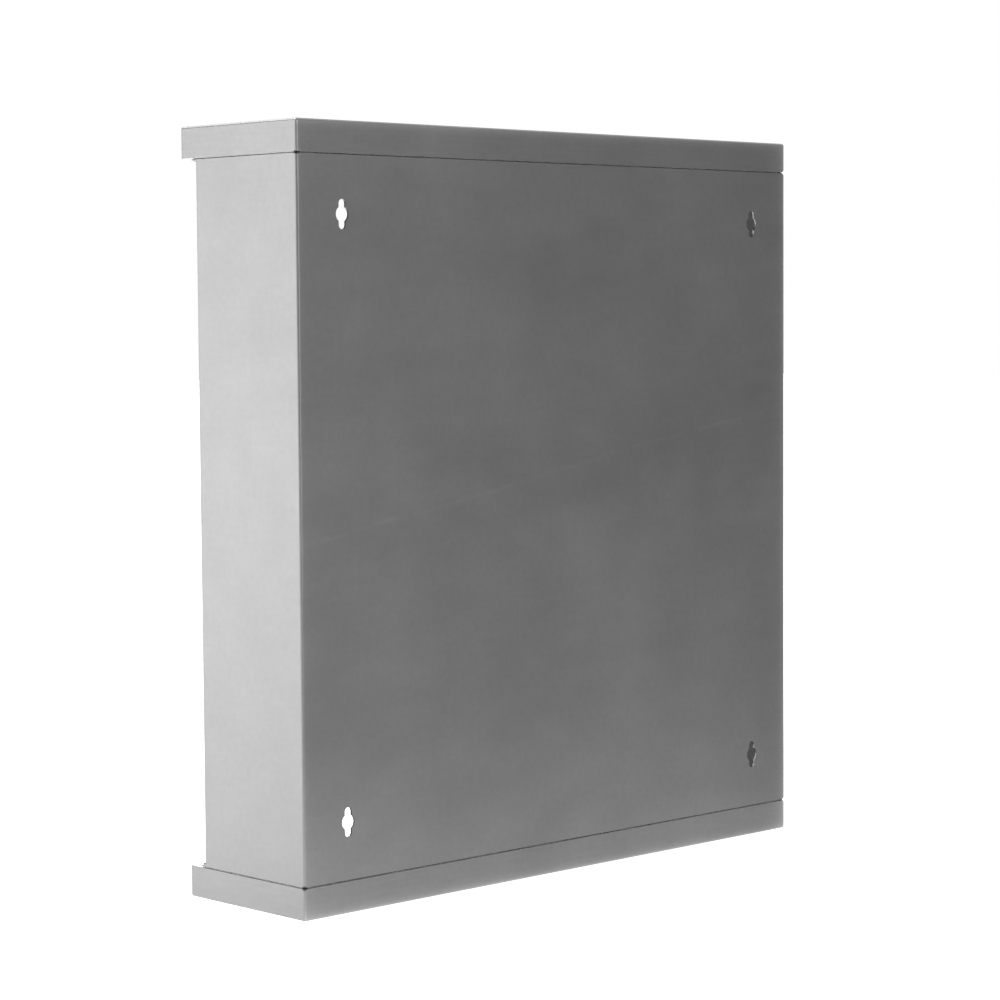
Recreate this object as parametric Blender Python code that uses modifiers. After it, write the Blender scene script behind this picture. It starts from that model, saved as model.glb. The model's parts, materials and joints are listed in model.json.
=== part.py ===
"""Surface-mounted residential load center: a sheet-metal enclosure with pan caps, its interior of bus bars
and breakers, and a hinged cover with a dead front and an inner door.

Frame: metres, +Z up. The origin is the centre of the back sheet's outer face, which lies on the wall.
The front faces -Y. The cover is modelled closed, then swung open about its hinge.
"""

import math

import bmesh
import bpy
from mathutils import Matrix, Vector

# Enclosure
HEIGHT = 0.508
WIDTH = 0.467
CAP_DEPTH = 0.1175
BODY_DEPTH = 0.1023
CAP_FLANGE = 0.0208
GROOVE = 0.0010
BODY_SHEET = 0.0012
CAP_SHEET = 0.0012
BEND_RADIUS = 0.0016
BEND_STEPS = 4
FRONT_LIP = 0.014
TONGUE_INSET = 0.0019
TONGUE_END = 0.2510
JOGGLE_HEIGHT = 0.0009
FLARE_START = 0.2302
FLARE_END = 0.2322
FLARE_REACH = 0.0056
NOTCH_HALF_WIDTH = 0.0022
NOTCH_HALF_HEIGHT = 0.0025
CORNER_RELIEF = (0.0090, 0.0028)

# Keyholes in the back sheet
KEYHOLE_X = 0.1962
KEYHOLE_Z = 0.1946
KEYHOLE_RADIUS = 0.0052
KEYHOLE_SLOT_HALF = 0.0028
KEYHOLE_HALF_LENGTH = 0.00965

# Knockouts in the caps: x, y, radius
KNOCKOUTS = (
    (-0.150, -0.050, 0.0145),
    (-0.090, -0.050, 0.0115),
    (0.0, -0.052, 0.0260),
    (0.0, -0.052, 0.0190),
    (0.090, -0.050, 0.0115),
    (0.150, -0.050, 0.0145),
)
KNOCKOUT_SLIT = 0.0008
KNOCKOUT_TAB = math.radians(26)

GAP = 0.0003
PIN_CLEARANCE = 0.00035

# Depth of each layer, measured forward from the wall
PAN_BACK = 0.0140
PAN_FRONT = 0.0155
BUS_SEAT = 0.0300
BUS_THICKNESS = 0.0030
BREAKER_BACK = 0.0375
BREAKER_FACE = 0.0920
BREAKER_NOSE = 0.0985
DEAD_FRONT_BACK = 0.0948
DEAD_FRONT_FACE = 0.0960
COVER_BACK = 0.1032
COVER_FACE = 0.1168
COVER_SHEET = 0.0012

# Branch breakers: rows run down the centre, one row for each pole
ROW_PITCH = 0.0254
FIRST_ROW_Z = 0.0500
ROWS = 6
POLE_WIDTH = 0.0250
BREAKERS = (
    ("left", 0, 2),
    ("left", 2, 1),
    ("left", 3, 1),
    ("left", 4, 1),
    ("right", 0, 1),
    ("right", 1, 1),
    ("right", 2, 2),
    ("right", 4, 1),
)
BREAKER_INNER_X = 0.0060
BREAKER_OUTER_X = 0.0820
NOSE_INNER_X = 0.0200
NOSE_OUTER_X = 0.0520
HANDLE_X = 0.0360
HANDLE_PIVOT_DEPTH = 0.0920
HANDLE_TILT = math.radians(17)
HANDLE_TIP_DEPTH = 0.1085
STAB_HALF_THICKNESS = 0.0012

# Main breaker
MAIN_HALF_WIDTH = 0.0380
MAIN_BOTTOM = 0.0780
MAIN_TOP = 0.1720
MAIN_HANDLE_Z = 0.1250
MAIN_HANDLE_TILT = math.radians(18)

# Cover, dead front and inner door, closed
COVER_HALF_WIDTH = 0.2320
COVER_HALF_HEIGHT = 0.2295
WINDOW_HALF_WIDTH = 0.0750
RECESS_HALF_WIDTH = 0.0830
WINDOW_LOW = -0.1080
WINDOW_HIGH = 0.1680
DOOR_MARGIN = 0.0013
DOOR_DEPTH = 0.0080
COVER_HINGE = (-0.2372, -0.1028)
COVER_HINGE_Z = 0.1500
COVER_HINGE_LENGTH = 0.0600
COVER_OPEN = math.radians(105)
DOOR_HINGE = (-0.0750, -0.1196)
DOOR_HINGE_ZS = (("upper", 0.1300), ("lower", -0.0700))
DOOR_HINGE_LENGTH = 0.0320
COVER_LATCH_X = 0.2100
COVER_LATCH_Z = 0.1500
DOOR_LATCH_Z = 0.0300
BOLT_FRONT = 0.1142

# Material: colour, roughness, metallic
MATERIALS = {
    "galvanised_steel": ((0.42, 0.42, 0.43), 0.45, 0.9),
    "painted_steel": ((0.40, 0.41, 0.42), 0.50, 0.0),
    "zinc_steel": ((0.60, 0.60, 0.58), 0.35, 1.0),
    "aluminium": ((0.75, 0.76, 0.77), 0.35, 1.0),
    "tinned_bus": ((0.70, 0.70, 0.68), 0.30, 1.0),
    "black_moulding": ((0.03, 0.03, 0.032), 0.45, 0.0),
    "grey_moulding": ((0.22, 0.22, 0.23), 0.55, 0.0),
    "green_screw": ((0.05, 0.30, 0.10), 0.40, 0.5),
    "card": ((0.85, 0.84, 0.80), 0.85, 0.0),
}


def clear_scene():
    for obj in list(bpy.data.objects):
        bpy.data.objects.remove(obj, do_unlink=True)


def new_collection(name):
    collection = bpy.data.collections.new(name)
    bpy.context.scene.collection.children.link(collection)
    return collection


def make_materials():
    made = {}
    for name, (colour, roughness, metallic) in MATERIALS.items():
        material = bpy.data.materials.new(name)
        material.use_nodes = True
        shader = material.node_tree.nodes["Principled BSDF"]
        shader.inputs["Base Color"].default_value = (*colour, 1.0)
        shader.inputs["Roughness"].default_value = roughness
        shader.inputs["Metallic"].default_value = metallic
        material.diffuse_color = (*colour, 1.0)
        made[name] = material
    return made


clear_scene()
PARTS = new_collection("residential_load_center")
TOOLS = new_collection("cutters")
TOOLS.hide_render = True
LOOKS = make_materials()


# Solids

def box(low, high):
    """A closed box between two corners, given in any order."""
    low, high = Vector(low), Vector(high)
    size = Vector([abs(high[i] - low[i]) for i in range(3)])
    bm = bmesh.new()
    matrix = Matrix.Translation((low + high) / 2) @ Matrix.Diagonal((*size, 1.0))
    bmesh.ops.create_cube(bm, size=1.0, matrix=matrix)
    return bm


def rod(start, end, radius, segments=16):
    """A closed cylinder from start to end."""
    start, end = Vector(start), Vector(end)
    along = end - start
    turn = Vector((0, 0, 1)).rotation_difference(along).to_matrix().to_4x4()
    bm = bmesh.new()
    bmesh.ops.create_cone(
        bm,
        cap_ends=True,
        segments=segments,
        radius1=radius,
        radius2=radius,
        depth=along.length,
        matrix=Matrix.Translation((start + end) / 2) @ turn,
    )
    return bm


def prism(outline, axis, low, high):
    """A flat outline drawn on the other two axes, in X, Y, Z order, and extruded along axis."""
    order = "XYZ".index(axis)

    def point(pair, height):
        values = list(pair)
        values.insert(order, height)
        return values

    bm = bmesh.new()
    face = bm.faces.new([bm.verts.new(point(pair, low)) for pair in outline])
    raised = bmesh.ops.extrude_face_region(bm, geom=[face])["geom"]
    verts = [item for item in raised if isinstance(item, bmesh.types.BMVert)]
    bmesh.ops.translate(bm, verts=verts, vec=point((0.0, 0.0), high - low))
    bmesh.ops.recalc_face_normals(bm, faces=bm.faces)
    return bm


def arc(centre, radius, start, end, steps):
    """Points on a circle, from angle start to angle end, both included."""
    angles = [start + (end - start) * i / steps for i in range(steps + 1)]
    return [(centre[0] + radius * math.cos(a), centre[1] + radius * math.sin(a)) for a in angles]


def merged(solids):
    """Several closed solids that do not meet, as one mesh. Only a cutter may be made like this."""
    joined = bmesh.new()
    for bm in solids:
        mesh = bpy.data.meshes.new("cutter_piece")
        bm.to_mesh(mesh)
        bm.free()
        joined.from_mesh(mesh)
        bpy.data.meshes.remove(mesh)
    return joined


def add(name, bm, look, parent=None, origin=(0.0, 0.0, 0.0)):
    """Adds a part. Its points are given in the closed object's frame, and its origin is put at origin."""
    bmesh.ops.translate(bm, verts=bm.verts, vec=-Vector(origin))
    mesh = bpy.data.meshes.new(name)
    bm.to_mesh(mesh)
    bm.free()
    mesh.shade_smooth()
    mesh.set_sharp_from_angle(angle=math.radians(35))
    mesh.materials.append(LOOKS[look])
    obj = bpy.data.objects.new(name, mesh)
    PARTS.objects.link(obj)
    obj.location = origin
    if parent is not None:
        bpy.context.view_layer.update()
        obj.parent = parent
        obj.matrix_parent_inverse = parent.matrix_world.inverted()
    return obj


def pivot(name, place, parent=None):
    """An empty on a joint's axis, for the pieces that turn with it."""
    empty = bpy.data.objects.new(name, None)
    PARTS.objects.link(empty)
    empty.location = place
    bpy.context.view_layer.update()
    if parent is not None:
        empty.parent = parent
        empty.matrix_parent_inverse = parent.matrix_world.inverted()
        bpy.context.view_layer.update()
    return empty


def combine(obj, bm, operation):
    mesh = bpy.data.meshes.new(obj.name + "_tool")
    bm.to_mesh(mesh)
    bm.free()
    tool = bpy.data.objects.new(obj.name + "_tool", mesh)
    TOOLS.objects.link(tool)
    tool.hide_render = True
    tool.display_type = "WIRE"
    if obj.parent is not None:
        tool.parent = obj.parent
        tool.matrix_parent_inverse = obj.matrix_parent_inverse
    modifier = obj.modifiers.new(operation.lower(), "BOOLEAN")
    modifier.operation = operation
    modifier.solver = "EXACT"
    modifier.object = tool


def cut(obj, *solids):
    for bm in solids:
        combine(obj, bm, "DIFFERENCE")


def fuse(obj, *solids):
    for bm in solids:
        combine(obj, bm, "UNION")


def fold(obj, radius, sheet):
    """Rounds a sheet's bends and gives it its thickness, inwards."""
    bends = obj.modifiers.new("bends", "BEVEL")
    bends.width = radius
    bends.segments = 3
    bends.limit_method = "ANGLE"
    bends.angle_limit = math.radians(40)
    thicken(obj, sheet)


def thicken(obj, sheet):
    skin = obj.modifiers.new("sheet", "SOLIDIFY")
    skin.thickness = sheet
    skin.offset = -1.0
    skin.use_even_offset = True


def open_box(low, high, open_side):
    """A box's surface without the side that faces open_side."""
    bm = box(low, high)
    away = Vector(open_side)
    gone = [face for face in bm.faces if face.normal.dot(away) > 0.9]
    bmesh.ops.delete(bm, geom=gone, context="FACES")
    return bm


def row_z(row):
    return FIRST_ROW_Z - ROW_PITCH * row


# Enclosure

def wrap_path(inset, reach):
    """The wrap's outer line seen from above, from the left front lip round the back to the right one."""
    side = WIDTH / 2 - inset
    front = -BODY_DEPTH - reach
    if inset:
        front += BODY_SHEET
    radius = BEND_RADIUS
    quarter = math.pi / 2
    points = [(-WIDTH / 2 + FRONT_LIP, front)]
    for x, y, start in (
        (-side + radius, front + radius, 3 * quarter),
        (-side + radius, -inset - radius, 2 * quarter),
        (side - radius, -inset - radius, quarter),
        (side - radius, front + radius, 0.0),
    ):
        points += arc((x, y), radius, start, start - quarter, BEND_STEPS)
    points.append((WIDTH / 2 - FRONT_LIP, front))
    return points


def flare(z):
    """How far the front edge reaches forward of the body at height z, where it runs into a cap."""
    share = (z - FLARE_START) / (FLARE_END - FLARE_START)
    return FLARE_REACH * min(max(share, 0.0), 1.0)


def make_wrap():
    """Back, sides and front lips, folded from one sheet, with a joggled tongue at each end for the caps."""
    shoulder = HEIGHT / 2 - CAP_FLANGE - GROOVE
    half = [(FLARE_START, 0.0), (shoulder, 0.0)]
    half += [(shoulder + JOGGLE_HEIGHT, TONGUE_INSET), (TONGUE_END, TONGUE_INSET)]
    levels = [(-z, inset) for z, inset in reversed(half)] + half
    bm = bmesh.new()
    rows = []
    for z, inset in levels:
        path = wrap_path(inset, flare(abs(z)))
        rows.append([bm.verts.new((x, y, z)) for x, y in path])
    for lower, upper in zip(rows, rows[1:]):
        for i in range(len(lower) - 1):
            bm.faces.new((lower[i], upper[i], upper[i + 1], lower[i + 1]))
    wrap = add("enclosure_body", bm, "galvanised_steel")
    thicken(wrap, BODY_SHEET)
    cut(wrap, merged([keyhole(x, z) for x in (-KEYHOLE_X, KEYHOLE_X) for z in (-KEYHOLE_Z, KEYHOLE_Z)]))
    cut(wrap, merged([corner_notch(x, z) for x in (-1, 1) for z in (-1, 1)]))
    return wrap


def keyhole(x, z):
    """A double-ended keyhole: a round hole for the screw's head, with a slot above and below it."""
    slot = KEYHOLE_SLOT_HALF
    radius = KEYHOLE_RADIUS
    end = KEYHOLE_HALF_LENGTH - slot
    meet = math.acos(slot / radius)
    outline = arc((x, z + end), slot, 0.0, math.pi, 8)
    outline += arc((x, z), radius, math.pi - meet, math.pi + meet, 8)
    outline += arc((x, z - end), slot, math.pi, 2 * math.pi, 8)
    outline += arc((x, z), radius, -meet, meet, 8)
    return prism(outline, "Y", -0.01, 0.01)


def corner_notch(side, end):
    """A diamond-shaped bar across a back corner, at the joint between the body and a cap."""
    joint = HEIGHT / 2 - CAP_FLANGE - GROOVE / 2
    reach = 0.006
    outline = [(NOTCH_HALF_WIDTH, 0.0), (0.0, NOTCH_HALF_HEIGHT)]
    outline += [(-NOTCH_HALF_WIDTH, 0.0), (0.0, -NOTCH_HALF_HEIGHT)]
    bm = prism(outline, "Y", -reach, reach)
    turn = Matrix.Rotation(math.radians(45) * side, 4, "Z")
    place = Matrix.Translation((side * WIDTH / 2, 0.0, end * joint))
    bmesh.ops.transform(bm, matrix=place @ turn, verts=bm.verts)
    return bm


def corner_relief(side, end):
    """A shallow notch in the free edge of a cap's front flange, just inside each corner bend."""
    length, height = CORNER_RELIEF
    outer = WIDTH / 2 - BEND_RADIUS - GAP
    edge = HEIGHT / 2 - CAP_FLANGE
    low = (side * outer, -CAP_DEPTH - 0.001, end * (edge - 0.001))
    return box(low, (side * (outer - length), -CAP_DEPTH + 0.002, end * (edge + height)))


def knockout(x, y, radius, low, high):
    """The two slits round a knockout, which stays held by a tab at each side."""
    slits = []
    for start in (KNOCKOUT_TAB / 2, math.pi + KNOCKOUT_TAB / 2):
        end = start + math.pi - KNOCKOUT_TAB
        outline = arc((x, y), radius, start, end, 10)
        outline += arc((x, y), radius - KNOCKOUT_SLIT, end, start, 10)
        slits.append(prism(outline, "Z", low, high))
    return slits


def make_cap(name, end):
    """A pan cap that fits over the wrap's tongue. end is 1 for the top and -1 for the bottom."""
    edge = HEIGHT / 2 - CAP_FLANGE
    low = (-WIDTH / 2, -CAP_DEPTH, end * edge)
    high = (WIDTH / 2, 0.0, end * HEIGHT / 2)
    cap = add(name, open_box(low, high, (0, 0, -end)), "galvanised_steel")
    fold(cap, BEND_RADIUS, CAP_SHEET)
    cut(cap, merged([corner_notch(side, end) for side in (-1, 1)]))
    cut(cap, merged([corner_relief(side, end) for side in (-1, 1)]))
    plate = sorted((end * (HEIGHT / 2 - 0.004), end * (HEIGHT / 2 + 0.004)))
    slits = []
    for x, y, radius in KNOCKOUTS:
        slits += knockout(x, y, radius, *plate)
    cut(cap, merged(slits))
    return cap


# Interior

def make_pan():
    half_width = 0.1140
    low_z, high_z = -0.1780, 0.1820
    flange = 0.0260
    foot_x, foot_z = 0.1000, 0.1650
    pan = add("interior_pan", box((-half_width, -PAN_FRONT, low_z), (half_width, -PAN_BACK, high_z)),
              "galvanised_steel")
    for side in (-1, 1):
        edge = side * half_width
        fuse(pan, box((edge - side * 0.0015, -flange, low_z), (edge, -PAN_BACK - 0.0005, high_z)))
        for z in (-foot_z, foot_z):
            fuse(pan, rod((side * foot_x, -PAN_BACK - 0.0005, z), (side * foot_x, -BODY_SHEET - GAP, z), 0.008))
    places = (("upper", -foot_x, foot_z), ("lower", foot_x, -foot_z))
    cut(pan, merged([rod((x, -0.020, z), (x, 0.002, z), 0.0026) for _, x, z in places]))
    for label, x, z in places:
        head_back = PAN_FRONT + GAP
        screw = add("pan_screw_" + label, rod((x, -head_back - 0.0028, z), (x, -head_back, z), 0.0046), "zinc_steel")
        fuse(screw, rod((x, -head_back - 0.001, z), (x, -0.0032, z), 0.0022, 12))
        slot = box((x - 0.0046 - GAP, -head_back - 0.004, z - 0.0005), (x + 0.0046 + GAP, -head_back - 0.0018, z + 0.0005))
        cut(screw, slot)


def make_bus():
    """The moulded support and the two bus bars, whose fingers alternate down the rows."""
    rail_in, rail_out = 0.0240, 0.0340
    low_z, high_z = row_z(ROWS - 1) - 0.0270, 0.0760
    support = add("bus_support", box((-0.040, -BUS_SEAT + GAP, low_z), (0.040, -PAN_FRONT - GAP, high_z)),
                  "black_moulding")
    for row in range(ROWS - 1):
        z = row_z(row) - ROW_PITCH / 2
        fuse(support, box((-0.022, -0.0365, z - 0.0015), (0.022, -BUS_SEAT + 0.001, z + 0.0015)))
    front = BUS_SEAT + BUS_THICKNESS
    for name, side, first in (("bus_bar_left", -1, 0), ("bus_bar_right", 1, 1)):
        low = (side * rail_in, -front, row_z(ROWS - 1) - 0.009)
        bar = add(name, box(low, (side * rail_out, -BUS_SEAT, 0.0950)), "tinned_bus")
        for row in range(first, ROWS, 2):
            z = row_z(row)
            fuse(bar, box((side * (rail_in + 0.001), -front, z - 0.008), (-side * 0.017, -BUS_SEAT, z + 0.008)))
            stab_low = (-0.016, -0.0460, z - STAB_HALF_THICKNESS)
            fuse(bar, box(stab_low, (0.016, -front + 0.001, z + STAB_HALF_THICKNESS)))


def make_rails():
    """The folded rails that the breakers' outer ends hook on."""
    back = PAN_FRONT + GAP
    line = ((0.0825, back), (0.0960, back), (0.0960, back + 0.0015), (0.0840, back + 0.0015))
    line += ((0.0840, 0.0427), (0.0792, 0.0427), (0.0792, 0.0412), (0.0825, 0.0412))
    for name, side in (("breaker_rail_left", -1), ("breaker_rail_right", 1)):
        outline = [(side * x, -depth) for x, depth in line]
        add(name, prism(outline, "Z", row_z(ROWS - 1) - 0.0150, row_z(0) + 0.0140), "zinc_steel")


def make_breaker(side_name, row, poles):
    """A plug-on branch breaker and its toggle. Its length runs out from the centre, one pole to a row."""
    side = -1 if side_name == "left" else 1
    name = f"{side_name}_breaker_{row + 1}"
    middle = (row_z(row) + row_z(row + poles - 1)) / 2
    half = (POLE_WIDTH + ROW_PITCH * (poles - 1)) / 2
    line = (
        (BREAKER_INNER_X, BREAKER_BACK),
        (BREAKER_INNER_X, BREAKER_FACE - 0.006),
        (BREAKER_INNER_X + 0.004, BREAKER_FACE),
        (NOSE_INNER_X, BREAKER_FACE),
        (NOSE_INNER_X + 0.002, BREAKER_NOSE),
        (NOSE_OUTER_X - 0.002, BREAKER_NOSE),
        (NOSE_OUTER_X, BREAKER_FACE),
        (BREAKER_OUTER_X - 0.012, BREAKER_FACE),
        (BREAKER_OUTER_X, BREAKER_FACE - 0.022),
        (BREAKER_OUTER_X, 0.0445),
        (BREAKER_OUTER_X - 0.0035, 0.0445),
        (BREAKER_OUTER_X - 0.0035, 0.0405),
        (BREAKER_OUTER_X, 0.0405),
        (BREAKER_OUTER_X, BREAKER_BACK),
    )
    outline = [(side * x, -depth) for x, depth in line]
    body = add(name, prism(outline, "Z", middle - half, middle + half), "black_moulding")
    jaws, pockets, ports, screws = [], [], [], []
    for pole in range(poles):
        z = row_z(row + pole)
        jaws.append(box((side * 0.004, -0.0300, z - 0.0017), (side * 0.022, -0.0480, z + 0.0017)))
        low = (side * (HANDLE_X - 0.0085), -BREAKER_NOSE - 0.002, z - 0.0068)
        pockets.append(box(low, (side * (HANDLE_X + 0.0085), -HANDLE_PIVOT_DEPTH + 0.0058, z + 0.0068)))
        ports.append(rod((side * 0.066, -0.062, z), (side * 0.090, -0.062, z), 0.0042, 12))
        screws.append(rod((side * 0.0745, -0.0760, z), (side * 0.0745, -0.1000, z), 0.0045, 12))
    for group in (jaws, pockets, ports, screws):
        cut(body, merged(group))
    make_toggle(name + "_handle", side, row, poles)


def make_toggle(name, side, row, poles):
    """The toggle stands at ON, tilted towards the centre. A two-pole breaker's toggles share a tie."""
    centre = (side * HANDLE_X, -HANDLE_PIVOT_DEPTH, (row_z(row) + row_z(row + poles - 1)) / 2)
    barrel_radius = 0.0052
    half_length = 0.0063
    reach = HANDLE_TIP_DEPTH - HANDLE_PIVOT_DEPTH
    offsets = [row_z(row + pole) - centre[2] for pole in range(poles)]
    lever = [(-0.0040, 0.0), (0.0040, 0.0), (0.0030, -reach), (-0.0030, -reach)]

    def placed(bm):
        turn = Matrix.Rotation(-side * HANDLE_TILT, 4, "Z")
        bmesh.ops.transform(bm, matrix=Matrix.Translation(centre) @ turn, verts=bm.verts)
        return bm

    handle = None
    for z in offsets:
        solid = placed(rod((0, 0, z - half_length), (0, 0, z + half_length), barrel_radius))
        if handle is None:
            handle = add(name, solid, "black_moulding", origin=centre)
        else:
            fuse_at(handle, solid, centre)
        fuse_at(handle, placed(prism(lever, "Z", z - half_length + 0.0004, z + half_length - 0.0004)), centre)
    if poles > 1:
        tie = box((-0.0024, -reach + 0.0005, min(offsets)), (0.0024, -reach + 0.0060, max(offsets)))
        fuse_at(handle, placed(tie), centre)
    return handle


def fuse_at(obj, bm, origin):
    """Joins a solid to a part whose origin is not the frame's."""
    fuse(obj, bm)
    tool = obj.modifiers[-1].object
    tool.data.transform(Matrix.Translation(-Vector(origin)))
    tool.location = origin


def make_main_breaker():
    line = (
        (PAN_FRONT + GAP, MAIN_TOP), (PAN_FRONT + GAP, 0.100), (0.0365, 0.100), (0.0365, MAIN_BOTTOM),
        (BREAKER_FACE, MAIN_BOTTOM), (BREAKER_FACE, 0.104), (BREAKER_NOSE, 0.106), (BREAKER_NOSE, 0.144),
        (BREAKER_FACE, 0.146), (BREAKER_FACE, MAIN_TOP - 0.006), (BREAKER_FACE - 0.006, MAIN_TOP),
    )
    outline = [(-depth, z) for depth, z in line]
    body = add("main_breaker", prism(outline, "X", -MAIN_HALF_WIDTH, MAIN_HALF_WIDTH), "black_moulding")
    shoulder = MAIN_HALF_WIDTH - 0.024
    for side in (-1, 1):
        edge = side * (MAIN_HALF_WIDTH + 0.001)
        cut(body, box((edge, -BREAKER_FACE, 0.102), (edge - side * shoulder, -0.110, 0.148)))
    pocket = 0.0115
    low = (-0.0165, -0.110, MAIN_HANDLE_Z - pocket)
    cut(body, box(low, (0.0165, -HANDLE_PIVOT_DEPTH + 0.0075, MAIN_HANDLE_Z + pocket)))
    centre = (0.0, -HANDLE_PIVOT_DEPTH, MAIN_HANDLE_Z)
    turn = Matrix.Translation(centre) @ Matrix.Rotation(-MAIN_HANDLE_TILT, 4, "X")
    barrel = rod((-0.0160, 0, 0), (0.0160, 0, 0), 0.0068)
    lever = box((-0.0150, 0.0, -0.0050), (0.0150, -0.0180, 0.0050))
    for bm in (barrel, lever):
        bmesh.ops.transform(bm, matrix=turn, verts=bm.verts)
    handle = add("main_breaker_handle", barrel, "black_moulding", origin=centre)
    fuse_at(handle, lever, centre)
    for name, side in (("main_lug_left", -1), ("main_lug_right", 1)):
        low = (side * 0.008, -0.068, MAIN_TOP + GAP)
        lug = add(name, box(low, (side * 0.032, -0.042, MAIN_TOP + 0.0240)), "aluminium")
        cut(lug, rod((side * 0.020, -0.053, MAIN_TOP + 0.004), (side * 0.020, -0.053, MAIN_TOP + 0.030), 0.0070))
        cut(lug, rod((side * 0.020, -0.075, MAIN_TOP + 0.013), (side * 0.020, -0.053, MAIN_TOP + 0.013), 0.0052))


def make_neutral():
    bar_in, bar_out = 0.0985, 0.1105
    bar_low, bar_high = -0.1500, 0.1180
    back = BUS_SEAT
    front = 0.0420
    for label, side in (("left", -1), ("right", 1)):
        add("neutral_insulator_" + label,
            box((side * bar_in, -back + GAP, -0.1180), (side * bar_out, -PAN_FRONT - GAP, 0.0860)), "black_moulding")
        bar = add("neutral_bar_" + label,
                  box((side * bar_in, -front, bar_low), (side * bar_out, -back, bar_high)), "aluminium")
        if side < 0:
            middle = -(bar_in + bar_out) / 2
            cut(bar, rod((middle, -0.050, -0.1250), (middle, -0.020, -0.1250), 0.0033, 12))
    strap_back = back - 0.0030 - GAP
    add("neutral_strap", box((-bar_out, -back + GAP, -0.1480), (bar_out, -strap_back, -0.1320)), "aluminium")
    screw = add("bonding_screw", rod((middle, -front - GAP - 0.0040, -0.1250), (middle, -front - GAP, -0.1250), 0.0054),
                "green_screw")
    fuse(screw, rod((middle, -front - 0.0010, -0.1250), (middle, -PAN_FRONT - GAP, -0.1250), 0.0029, 12))
    slot_front = front + GAP + 0.0050
    cut(screw, box((middle - 0.008, -slot_front, -0.1256), (middle + 0.008, -slot_front + 0.0025, -0.1244)))
    lug = add("neutral_lug", box((middle - 0.0115, -0.0620, 0.0940), (middle + 0.0115, -front - GAP, 0.1160)),
              "aluminium")
    cut(lug, rod((middle, -0.0520, 0.0900), (middle, -0.0520, 0.1200), 0.0065))
    cut(lug, rod((middle, -0.0700, 0.1050), (middle, -0.0520, 0.1050), 0.0050))


def make_ground_bar():
    x_low, x_high = -0.1660, -0.1550
    z_low, z_high = -0.1500, -0.0300
    bar = add("ground_bar", box((x_low, -0.0170, z_low), (x_high, -0.0070, z_high)), "aluminium")
    for z in (z_low + 0.010, z_high - 0.010):
        fuse(bar, box((x_low + 0.001, -0.0080, z - 0.006), (x_high - 0.001, -BODY_SHEET - GAP, z + 0.006)))


# Cover

def knuckles(axis, centre_z, length, radius):
    """The two outer knuckles of a three-knuckle hinge and the middle one, as z ranges."""
    third = length / 3
    low = centre_z - length / 2
    outer = [(low, low + third - GAP), (low + 2 * third + GAP, low + length)]
    middle = (low + third + GAP, low + 2 * third - GAP)
    make = [rod((*axis, a), (*axis, b), radius) for a, b in outer]
    return make, middle


def make_pin(name, axis, centre_z, length, radius, parent):
    head = radius * 1.8
    head_height = 0.0010
    top = centre_z + length / 2 + GAP
    pin = add(name, rod((*axis, centre_z - length / 2 - 0.001), (*axis, top + 0.0002), radius, 12), "zinc_steel", parent)
    fuse(pin, rod((*axis, top), (*axis, top + head_height), head, 12))


def make_cover(hinge):
    width, height = COVER_HALF_WIDTH, COVER_HALF_HEIGHT
    shell = open_box((-width, -COVER_FACE, -height), (width, -COVER_BACK, height), (0, 1, 0))
    cover = add("cover_frame", shell, "painted_steel", hinge)
    fold(cover, 0.0018, COVER_SHEET)
    wall = COVER_SHEET
    inner = RECESS_HALF_WIDTH
    low = (-inner - wall, -COVER_FACE + 0.0004, WINDOW_LOW - wall)
    fuse(cover, box(low, (inner + wall, -DEAD_FRONT_FACE - GAP, WINDOW_HIGH + wall)))
    cut(cover, box((-inner, -COVER_FACE + wall, WINDOW_LOW), (inner, -0.080, WINDOW_HIGH)))
    cut(cover, box((-WINDOW_HALF_WIDTH, -0.140, WINDOW_LOW), (WINDOW_HALF_WIDTH, -0.080, WINDOW_HIGH)))
    cut(cover, merged([rod((COVER_LATCH_X, -0.130, z), (COVER_LATCH_X, -0.105, z), 0.0040)
                       for z in (-COVER_LATCH_Z, COVER_LATCH_Z)]))


def make_dead_front(hinge):
    """The plate between the breakers' faces and the user, with a slot for each row of noses."""
    plate = add("dead_front", box((-0.0920, -DEAD_FRONT_FACE, -0.1220), (0.0920, -DEAD_FRONT_BACK, 0.1820)),
                "painted_steel", hinge)
    margin = 0.0008
    low_z = row_z(ROWS - 1) - ROW_PITCH / 2 - margin
    high_z = row_z(0) + ROW_PITCH / 2 + margin
    inner, outer = NOSE_INNER_X - 0.0010, NOSE_OUTER_X + 0.0015
    for side in (-1, 1):
        cut(plate, box((side * inner, -0.110, low_z), (side * outer, -0.080, high_z)))
    cut(plate, box((-0.0255, -0.110, 0.1022), (0.0255, -0.080, 0.1478)))
    for name, side in (("filler_plate_left", -1), ("filler_plate_right", 1)):
        z = row_z(ROWS - 1)
        face = DEAD_FRONT_FACE + GAP
        filler = add(name, box((side * (inner - 0.0015), -face - 0.0012, z - 0.0122),
                               (side * (outer + 0.0015), -face, z + 0.0122)), "black_moulding", hinge)
        fuse(filler, box((side * (inner + GAP), -face - 0.0006, z - 0.0110),
                         (side * (outer - GAP), -DEAD_FRONT_BACK + 0.0010, z + 0.0110)))


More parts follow.
